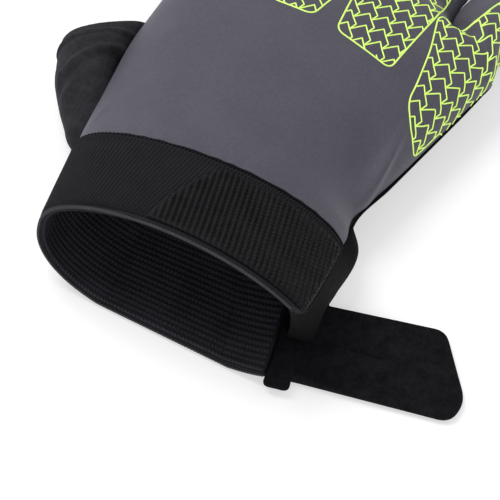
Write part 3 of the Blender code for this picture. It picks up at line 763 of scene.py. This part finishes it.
def makeThumb():
    # Ring at t: centre + (cos^(2/p) a * w, sin^(2/p) a * h), turned by the row's direction; w
    # differs by side, and p grows towards the open end. Relief: hem all round, folds on top, nap.
    table = np.array(thumb["rows"])
    t = np.linspace(thumb["from"], len(table) - 1.0, thumb["gridRows"])
    rows = throughRows(t, np.arange(len(table)), table)
    angle = np.linspace(0.0, 2 * math.pi, thumb["columns"], endpoint=False)[None]
    centreX, centreY, leftHalf, rightHalf, height, degrees = [row[:, None] for row in rows.T]
    turn, across, above = np.radians(degrees), np.cos(angle), np.sin(angle)
    square = 2 / (2.0 + thumb["square"] * smoothStep(t - 3.0)[:, None])
    reach = np.where(across >= 0, rightHalf, leftHalf) * np.sign(across) * np.abs(across) ** square
    rise = np.sign(above) * np.abs(above) ** square
    points = np.stack([centreX + reach * np.cos(turn), centreY + reach * np.sin(turn),
                       thumb["lift"] + height / 2 * (1 + rise)], -1)
    centre = points.mean(axis=1, keepdims=True)
    normals = normalsOf(points, centre, True)
    length = lengthsTo(centre[:, 0])
    fromEnd = (length[-1] - length)[:, None]
    ridge = lambda fact, place: fact[0] * hill(place - fact[1], fact[2])
    fromHem = fromEnd - thumb["hem"]
    fromFold = fromEnd - thumb["fold"] - thumb["foldBend"] * np.cos(angle + 2.9)
    folds = (ridge(thumb["foldRidge"], fromFold) + ridge(thumb["foldGroove"], fromFold)
             + ridge(thumb["nextFold"], fromFold - 2.0 * across))
    x, y = points[..., 0], points[..., 1]
    relief = (ridge(thumb["hemRidge"], fromHem) + ridge(thumb["hemGroove"], fromHem)
              + smoothStep(above * 2.5) * folds
              + unevenness(x, y, thumb["nap"]) * smoothStep((fromEnd - 4) / 6)
              + unevenness(x, y, thumb["grain"]))
    points = points + normals * relief[..., None]
    points[..., 2] = np.maximum(points[..., 2], 0.1)
    around = lengthsAlong(np.concatenate([points, points[:, :1]], 1))
    uv = np.stack([around, np.broadcast_to(length[:, None], around.shape)], -1)
    made = wallPiece("thumbSuede", points, normals, thumb["wall"], uv, blackSuede,
                     closedColumns=True)
    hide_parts("thumb_sleeve")


makeThumb()
print("thumb ready")


cuff = {
    "width": 72.4, "height": 37.0, "widest": 18.9, "length": 31.1, "slope": -0.1, "wall": 1.3,
    "start": (35.0, 12.0), "end": (312.0, 318.0),     # degrees at the rim and at the seam
    "corner": (8.0, 0.12),                # degrees cut off the near end at the rim, and how far up
    "palmPower": 2.5, "palmShift": 0.15, "sag": [(0.35, 19.0, 21)],
    # outside: fine ribs along the wrist, a dotted groove above the rim and a fold at the seam
    "columns": 1350, "rowBands": ((0, 0.12, 16), (0.12, 0.9, 14), (0.9, 1, 9)),
    "ribPitch": 0.85, "ribHeight": 0.15, "ribsFrom": 1.2,
    "groove": (0.25, 0.40, 1.5, 0.42), "dotPitch": 0.83,   # depth, more at a dot, place, width
    "foldRidge": (0.22, 29.6, 0.6), "foldGroove": (-0.3, 28.7, 0.35),   # height, place, width
    # inside: ribs round the wrist, crossed by ladder threads
    "innerColumns": 620, "innerRibs": 18, "innerPitch": 1.7, "innerHeight": 0.4,
    "ladderPitch": 0.95, "ladderHeight": 0.42, "innerGap": 0.15, "rimDepth": 0.8,
}
rimCord = {
    "steps": 1600, "sides": 12, "radius": 0.34, "inwards": 0.35, "forward": 0.15, "lowest": 0.7,
    "strokeHeight": 0.08, "strokePitch": 0.8, "slimmer": 0.25,
}
seamTape = {
    "steps": 500, "sides": 10, "radius": 0.48, "inwards": 0.12, "forward": 0.5, "palmBack": 0.45,
    "lowest": 0.5, "overlap": 2.0,                    # degrees past the band's near end
}
rimSection = np.array([-cuff["width"] / 2, cuff["width"] / 2, cuff["height"], cuff["widest"]])
seamSection = throughRows(hand["seamY"], sectionPlaces, sectionSizes)


def cuffPoint(angle, share):
    # The rim's section blended into the seam's: share is 0 at the slanted rim, 1 at the seam.
    rim = sectionPoint(rimSection, angle, power=cuff["palmPower"])
    seam = sectionPoint(seamSection, angle)
    x, z = mix(rim[0], seam[0], share), mix(rim[1], seam[1], share)
    front = x * cuff["slope"] - cuff["palmShift"] * np.maximum(-np.sin(angle), 0.0) ** 3
    return np.stack([x, mix(front, cuff["length"] + seamLean(angle), share), z], -1)


def bandStart(share):
    # The band's near end in degrees: a straight slant, with its corner at the rim cut round.
    cut, reach = cuff["corner"]
    return mix(*cuff["start"], share) + cut * np.maximum(1 - share / reach, 0.0) ** 2


def cuffAngles(share, count, start=None, end=None, bend=1.0):
    # Angles at even steps of arc length round the wrist, between the two slanted ends;
    # the far end follows share^bend. Returns them and the length round the wrist.
    near = bandStart if start is None else lambda share: mix(*start, share)
    start, end = start or cuff["start"], end or cuff["end"]
    probe = np.linspace(start[0], end[0], 2000)
    place = lengthsTo(cuffPoint(np.radians(probe), 0.4))
    even = np.interp(np.linspace(0, place[-1], count), place, np.linspace(0, 1, 2000))[None]
    share = np.asarray(share)[:, None]
    return np.radians(mix(near(share), mix(end[0], end[1], share ** bend), even)), place[-1]


cuffMiddle = np.array((0.0, 15.0, 17.0))     # a point in the cuff's hollow


def makeBand():
    # P + n * (ribs cos over the arc + a dotted groove above the rim + a fold at the seam + sag).
    share = np.concatenate([np.linspace(*band)[:-1] for band in cuff["rowBands"]] + [[1.0]])
    angle, around = cuffAngles(share, cuff["columns"])
    points = cuffPoint(angle, share[:, None])
    normals = normalsOf(points, cuffMiddle)
    arc = np.linspace(0, around, cuff["columns"])[None]
    up = share[:, None] * cuff["length"]
    ribs = cuff["ribHeight"] * np.cos(2 * math.pi * arc / cuff["ribPitch"])
    ribs = ribs * smoothStep(up - cuff["ribsFrom"])
    depth, more, place, width = cuff["groove"]
    dots = 0.5 + 0.5 * np.cos(2 * math.pi * arc / cuff["dotPitch"])
    groove = -(depth + more * dots) * hill(up - place, width)
    fold = sum(height * hill(up - place, width) for height, place, width in
               (cuff["foldRidge"], cuff["foldGroove"]))
    relief = ribs + groove + fold + unevenness(arc, up, cuff["sag"])
    points = points + normals * relief[..., None]
    points[..., 2] = np.maximum(points[..., 2], 0.0)
    uv = np.stack(np.broadcast_arrays(arc, up), -1)
    band = wallPiece("cuffBand", points, normals, cuff["wall"], uv, blackElastic, sharp=70.0)
    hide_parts("cuff_band")


def makeBandInside():
    # The same sheet, a wall further in: P - n * (wall + gap + ribs |sin|^0.7 round the wrist, cut
    # by ladder threads cos - sag), which meets the rim in a smoothStep.
    share = np.linspace(0.004, 0.995, cuff["innerRibs"] * 6 + 1)
    angle, around = cuffAngles(share, cuff["innerColumns"])
    base = cuffPoint(angle, share[:, None])
    normals = normalsOf(base, cuffMiddle)
    arc = np.linspace(0, around, cuff["innerColumns"])[None]
    up = share[:, None] * cuff["length"]
    rib = up / cuff["innerPitch"]
    wave = np.abs(np.sin(math.pi * rib)) ** 0.7
    ladder = 0.5 + 0.5 * np.cos(2 * math.pi * arc / cuff["ladderPitch"] + math.pi * np.floor(rib))
    height = cuff["innerHeight"] * wave - cuff["ladderHeight"] * ladder * wave
    depth = cuff["wall"] + cuff["innerGap"] + height - unevenness(arc, up, cuff["sag"])
    depth = mix(cuff["rimDepth"], depth, smoothStep(up / 0.6))
    points = base - normals * depth[..., None]
    points[..., 2] = np.maximum(points[..., 2], 0.5)
    # a quarter pitch back, so that the finish's bands put painted shade in the grooves between the
    # ribs
    uv = np.stack(np.broadcast_arrays(arc, up - cuff["innerPitch"] / 4), -1)
    faces, corners = turnedOut(gridFaces(*points.shape[:2]), gridCorners(uv), points, -normals)
    inner = meshPiece("cuffInside", points.reshape(-1, 3), faces, corners, insideElasticPaintedLight, sharp=80.0)


def makeRimCord():
    # A cord round the rim with slanted strokes: radius = r + e cos(2 pi s / pitch - 2 a), and
    # slimmer under the palm.
    angle, around = cuffAngles(np.array([0.0]), rimCord["steps"])
    path = cuffPoint(angle, np.array([[0.0]]))[0]
    near = cuffPoint(np.repeat(angle, 3, 0), np.array([[0.0], [0.02], [0.04]]))
    outward = normalsOf(near, cuffMiddle)[0]
    path = path - outward * rimCord["inwards"] - (0.0, rimCord["forward"], 0.0)
    path[:, 2] = np.maximum(path[:, 2], rimCord["lowest"])
    arc = np.linspace(0, around, rimCord["steps"])[:, None]
    turn = np.linspace(0, 2 * math.pi, rimCord["sides"], endpoint=False)[None]
    strokes = np.cos(2 * math.pi * arc / rimCord["strokePitch"] - 2 * turn)
    slim = 1 - rimCord["slimmer"] * smoothStep(-outward[:, 2:] * 1.5)
    radius = (rimCord["radius"] + rimCord["strokeHeight"] * strokes) * slim
    # the cord's finish is drawn lighter: a painted highlight
    made = tubePiece("rimCord", path, radius, rimCord["sides"], threadPaintedHighlight, up=(0.0, 1.0, 0.0))


def makeSeamTape():
    # A thin tape over the seam between the band and the hand, a little further up on the palm.
    ends = (cuff["start"][1] - seamTape["overlap"], cuff["end"][1])
    angle = np.radians(np.linspace(*ends, seamTape["steps"]))[None]
    path = cuffPoint(angle, np.array([[1.0]]))[0] - (0.0, seamTape["forward"], 0.0)
    near = cuffPoint(np.repeat(angle, 3, 0), np.array([[0.9], [0.95], [1.0]]))
    path = path - normalsOf(near, cuffMiddle)[2] * seamTape["inwards"]
    path[:, 1] += seamTape["palmBack"] * smoothStep(-3 * np.sin(angle[0]))
    path[:, 2] = np.maximum(path[:, 2], seamTape["lowest"])
    made = tubePiece("seamTape", path, seamTape["radius"], seamTape["sides"], blackTape,
                     up=(0.0, 1.0, 0.0))


makeBand()
makeBandInside()
makeRimCord()
makeSeamTape()
print("cuff ready")


patch = {
    "start": (36.8, 17.0), "end": (110.0, 86.0), "bend": 1.5,    # degrees at the rim and the seam
    "reach": (0.05, 0.90),                                       # shares of the band's length
    "gridRows": 170, "columns": 250,
    "lift": 0.30, "thickness": 0.9, "wall": 0.5, "border": 0.6, "hem": 0.15,
    "rowPitch": 1.4, "hookPitch": 1.3, "hookHeight": 0.85,
    "jitter": [(0.35, 1.0, 31)], "wear": [(0.25, 2.6, 32)],
}
stitches = {
    "reach": (0.10, 0.86), "count": 17, "beside": 0.9, "lift": 0.85, "slant": 0.7,
    "size": (1.25, 0.3, 0.3),
}


def makePatch():
    # P + n * (lift + thickness inside the edge + hooks + hem); hooks = rows |sin|^0.8 over the arc
    # times domes cos along them, each row shifted by half a pitch.
    share = np.linspace(*patch["reach"], patch["gridRows"])
    angle, around = cuffAngles(share, patch["columns"], patch["start"], patch["end"], patch["bend"])
    base = cuffPoint(angle, share[:, None])
    normals = normalsOf(base, cuffMiddle)
    arc = np.linspace(0, around, patch["columns"])[None]
    up = (share * cuff["length"])[:, None]
    probe = np.radians(np.linspace(0, 130, 400))
    turned = lengthsAlong(cuffPoint(probe[None], np.array([[0.4]])))[0]
    lean = np.interp(angle, probe, turned)
    row = np.floor(lean / patch["rowPitch"])
    ridge = np.abs(np.sin(math.pi * lean / patch["rowPitch"])) ** 0.8
    jitter = unevenness(row * 3.1 + 0.5, up * 0.4, patch["jitter"])
    dome = 0.5 + 0.5 * np.cos(2 * math.pi * up / patch["hookPitch"] + math.pi * row + jitter)
    worn = 0.75 + unevenness(arc, up, patch["wear"])
    fromSide = np.minimum(np.minimum(arc, around - arc), np.minimum(up - up[0], up[-1] - up))
    hooks = patch["hookHeight"] * ridge * (0.35 + 0.65 * dome) * worn
    hooks = hooks * smoothStep((fromSide - patch["border"]) / 0.5)
    hem = patch["hem"] * smoothStep((patch["border"] - fromSide) / 0.3)
    edge = (patch["thickness"] - patch["wall"]) * smoothStep(fromSide / 0.5)
    points = base + normals * (patch["lift"] + edge + hooks + hem)[..., None]
    # a quarter pitch back, so that the finish's bands put painted shade in the valleys between the
    # hook rows
    uv = np.stack(np.broadcast_arrays(lean - patch["rowPitch"] / 4, up), -1)
    made = wallPiece("hookPatch", points, normals, patch["wall"], uv, hookNylonRowShade, sharp=80.0)
    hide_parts("hook_patch")


def makePatchStitches():
    # A zigzag of thread down the patch's slanted end, lighter by the rim cord's painted highlight,
    # each stitch turned the other way.
    share = np.linspace(*stitches["reach"], stitches["count"])
    angle = np.radians(mix(*patch["start"], share) + stitches["beside"])
    place = cuffPoint(angle, share)
    along = unit(cuffPoint(angle, share + 0.01) - place)
    around = unit(cuffPoint(angle + 0.01, share) - place)
    above = unit(np.cross(along, around))
    above = above * np.sign(np.sum(above * (place - cuffMiddle), axis=1, keepdims=True))
    slant = np.where(np.arange(stitches["count"]) % 2 == 0, 1.0, -1.0)[:, None] * stitches["slant"]
    made = stitchPiece("patchStitches", place + above * stitches["lift"], along + slant * around,
                       above, stitches["size"], threadPaintedHighlight)


makePatch()
makePatchStitches()
print("hook patch ready")


gusset = {
    "wall": 1.0, "gridRows": 100, "columns": 56, "inside": (20.0, 18.0, 12.0),
    "tuck": 0.8, "tuckTurn": 2.0, "lastShift": (0.3, 2.5, -1.5), "uneven": [(0.15, 6.0, 41)],
    # share of the band's end, then bulge and foot in mm
    "rows": [(0.05, 31.2, 6.4, 14.5, 33.0, 12.6, 2.2), (0.30, 33.4, 13.5, 12.5, 34.0, 14.9, 2.2),
             (0.60, 34.3, 22.5, 11.5, 33.0, 18.4, 2.5), (0.90, 35.6, 31.0, 10.5, 34.0, 24.0, 2.5),
             (1.05, 36.5, 36.8, 11.5, 35.0, 33.0, 2.5)],
    # one row before and one after them: start, bulge and foot
    "front": ((26.2, -2.4, 29.4), (27.6, 4.6, 16.0), (27.8, 11.6, 2.5)),
    "tip": ((32.8, 42.6, 13.6), (33.2, 42.8, 12.2), (33.4, 43.0, 8.0)),
}


def makeGusset():
    # Each row is a quadratic curve from under the band's end, over the bulge, to its foot on the
    # strap.
    table = np.array(gusset["rows"])
    share = np.minimum(table[:, 0], 1.0)
    start = cuffPoint(np.radians(bandStart(share) + gusset["tuckTurn"]), share)
    start = start + unit(cuffMiddle - start) * gusset["tuck"]
    start[-1] += gusset["lastShift"]
    curves = [np.concatenate([[front], rows, [tip]]) for front, rows, tip in
              zip(gusset["front"], (start, table[:, 1:4], table[:, 4:7]), gusset["tip"])]
    places = np.arange(len(table) + 2)
    t = np.linspace(0, len(table) + 1.0, gusset["gridRows"])
    start, middle, end = [throughRows(t, places, curve)[:, None] for curve in curves]
    s = np.linspace(0, 1, gusset["columns"])[None, :, None]
    points = quadratic(s, start, 2 * middle - (start + end) / 2, end)
    normals = normalsOf(points, np.array(gusset["inside"]))
    arc = lengthsAlong(points)
    relief = unevenness(points[..., 1], points[..., 2], gusset["uneven"]) * smoothStep(arc / 4)
    points = points + normals * relief[..., None]
    uv = np.stack([points[..., 1], arc], -1)
    made = wallPiece("gusset", points, normals, gusset["wall"], uv, blackTape)
    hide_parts("ulnar_gusset")


makeGusset()

strap = {
    "bottom": 0.0, "thickness": 2.4, "edge": 1.2, "step": 0.4, "rings": 34,
    # outline in mm: x, y and corner radius, counter-clockwise from the root's front
    "outline": [(22.0, -1.6, 0.6), (34.0, 0.85, 1.0), (71.9, 6.8, 3.4), (73.5, 14.0, 3.4),
                (63.6, 32.2, 3.2), (34.5, 25.95, 0.6), (33.9, 31.5, 0.5), (22.0, 31.5, 0.5)],
    "spine": ((32.0, 13.5), (61.0, 17.5)),
    "rootEnd": 34.0, "pile": [(0.16, 0.9, 51), (0.12, 2.1, 52)], "waves": [(0.25, 9.0, 53)],
}
tab = {
    "bottom": 2.0, "thickness": 0.9, "edge": 0.45, "step": 0.5, "rings": 8,
    "outline": [(26.5, -4.8, 1.8), (33.0, -3.7, 1.6), (32.4, 4.0, 2.0), (28.6, 14.0, 1.0),
                (26.2, 14.0, 0.6)],
    "spine": ((29.9, -1.6), (28.6, 11.0)), "pile": [(0.08, 1.5, 55)],
}


def padGrid(outline, spine, thickness, edge, rows):
    # Rings from the spine under the pad, round its edge and back to the spine on top:
    # distance d from the edge, z = t/2 +- t/2 sqrt(1 - (1 - d/e)^2) and flat beyond e.
    start, end = np.array(spine[0]), np.array(spine[1])
    way = end - start
    share = np.clip(((outline - start) @ way) / (way @ way), 0, 1)[:, None]
    centre = start + share * way
    depth = np.linalg.norm(outline - centre, axis=1)[None, :, None]
    turn = np.linspace(-math.pi / 2, math.pi / 2, 15)
    flat = np.linspace(0, 0.97, rows)[1:]     # the weld fills the slit that is left at the spine
    rim = edge * (1 - np.cos(turn))
    ring = np.concatenate([np.full(len(flat), edge), rim, np.full(len(flat), edge)])[:, None, None]
    toSpine = np.concatenate([flat[::-1], 0 * turn, flat])[:, None, None]
    height = np.concatenate([np.full(len(flat), -1.0), np.sin(turn), np.full(len(flat), 1.0)])
    distance = ring + toSpine * (depth - edge)
    plan = centre[None] + (outline - centre)[None] * (1 - distance / depth)
    z = (thickness / 2 * (1 + height))[:, None] + 0 * plan[..., 0]
    return np.concatenate([plan, z[..., None]], -1), distance[..., 0]


def makePad(name, facts, relief, finish):
    # A flat pad: padGrid's rings + n * relief on its upper half, set on its bottom.
    outline, around = roundedOutline(facts["outline"], facts["step"])
    thickness = facts["thickness"]
    points, distance = padGrid(outline, facts["spine"], thickness, facts["edge"], facts["rings"])
    centre = np.array([*np.mean(facts["spine"], axis=0), thickness / 2])
    normals = normalsOf(points, centre, True)
    top = np.clip(points[..., 2] / thickness, 0, 1)
    points = points + normals * (relief(points, distance) * smoothStep(top * 1.5))[..., None]
    points[..., 2] = np.maximum(points[..., 2], 0.0) + facts["bottom"]
    uv = np.stack(np.broadcast_arrays(np.linspace(0, around, len(outline) + 1)[None],
                                      np.concatenate([distance, distance[:, :1]], 1)), -1)
    faces, corners = turnedOut(gridFaces(*points.shape[:2], True), gridCorners(uv), points, normals)
    return meshPiece(name, points.reshape(-1, 3), faces, corners, finish, sharp=80.0, weld=True)


def strapRelief(points, distance):
    # Pile past the root and wide waves, both fading to nothing at the edge.
    x, y = points[..., 0], points[..., 1]
    pile = unevenness(x, y, strap["pile"]) * smoothStep((x - strap["rootEnd"]) / 5)
    waves = unevenness(x, y, strap["waves"]) * smoothStep((x - strap["rootEnd"]) / 8)
    return (pile + waves) * smoothStep(distance / 2.0)


def tabRelief(points, distance):
    # Fine pile all over.
    return unevenness(points[..., 0], points[..., 1], tab["pile"])


strapPile = makePad("strapPile", strap, strapRelief, brushedPile)
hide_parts("closure_strap")
seamTab = makePad("seamTab", tab, tabRelief, brushedPile)
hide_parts("seam_tab")
print("gusset, strap and tab ready")


def makeFloor():
    # A pale plane 0.4 mm under the glove.
    mesh = bpy.data.meshes.new("floor")
    half, drop = 3.0, -0.0004
    mesh.from_pydata([(-half, -half, drop), (half, -half, drop), (half, half, drop),
                      (-half, half, drop)], [], [(0, 1, 2, 3)])
    made = bpy.data.objects.new("floor", mesh)
    bpy.context.scene.collection.objects.link(made)
    finish, _, shader = newFinish("pale paper floor", 0.9)
    shader.inputs["Base Color"].default_value = linear("#c8c8c8")
    shader.inputs["Emission Color"].default_value = linear("#ffffff")
    shader.inputs["Emission Strength"].default_value = 0.5
    mesh.materials.append(finish)
    made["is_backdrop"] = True


makeFloor()


studio = {
    "world": 0.52,
    # name, place in metres, aim, size, watts
    "lamps": [("keyLight", (-0.65, 0.05, 1.05), (0.0, 0.0, 0.0), 0.7, 9.8),
              ("frontLight", (0.15, -1.1, 0.5), (0.0, -0.03, 0.0), 0.8, 4.4)],
}


def makeLights():
    # An even white world and two soft area lamps, each turned from its place to its aim.
    world = bpy.data.worlds.new("studio")
    bpy.context.scene.world = world
    world.use_nodes = True
    background = world.node_tree.nodes["Background"]
    background.inputs["Color"].default_value = (1, 1, 1, 1)
    background.inputs["Strength"].default_value = studio["world"]
    for name, place, aim, size, watts in studio["lamps"]:
        lamp = bpy.data.lights.new(name, "AREA")
        lamp.size, lamp.energy = size, watts
        made = bpy.data.objects.new(name, lamp)
        made.location = place
        made.rotation_euler = (Vector(place) - Vector(aim)).to_track_quat("Z", "Y").to_euler()
        bpy.context.scene.collection.objects.link(made)


makeLights()

view = {
    "azimuth": 2.87, "elevation": 49.19, "roll": 19.35,   # degrees
    "distance": 0.8, "target": (0.0, -0.0216, 0.015),     # metres
    "focal": 3301.0, "offset": (25.0, -70.9), "frame": 500.0,   # pixels
}


def makeCamera():
    # Camera axes from azimuth, elevation and roll, then turned so that the ray through the offset
    # is the frame's middle and no shift is needed.
    a, e, roll = [math.radians(view[key]) for key in ("azimuth", "elevation", "roll")]
    back = Vector((math.sin(a) * math.cos(e), -math.cos(a) * math.cos(e), math.sin(e)))
    right = Vector((math.cos(a), math.sin(a), 0.0))
    up = back.cross(right)
    camX = right * math.cos(roll) + up * math.sin(roll)
    camY = up * math.cos(roll) - right * math.sin(roll)
    lens = bpy.data.cameras.new("photoCamera")
    lens.sensor_width = 36.0
    lens.lens = view["focal"] / view["frame"] * lens.sensor_width
    lens.clip_start, lens.clip_end = 0.05, 20.0
    made = bpy.data.objects.new("photoCamera", lens)
    right, up = [offset / view["focal"] for offset in view["offset"]]
    ray = camX * right + camY * up - back
    ray.normalize()
    newX = camX - ray * camX.dot(ray)
    newX.normalize()
    made.matrix_world = Matrix((newX, (-ray).cross(newX), -ray)).transposed().to_4x4()
    made.location = Vector(view["target"]) + back * view["distance"]
    bpy.context.scene.collection.objects.link(made)
    bpy.context.scene.camera = made


makeCamera()
bpy.context.scene.view_settings.view_transform = "Standard"
print("studio ready")

{"cad": cadBox, "visual": [list(corner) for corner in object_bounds()]}
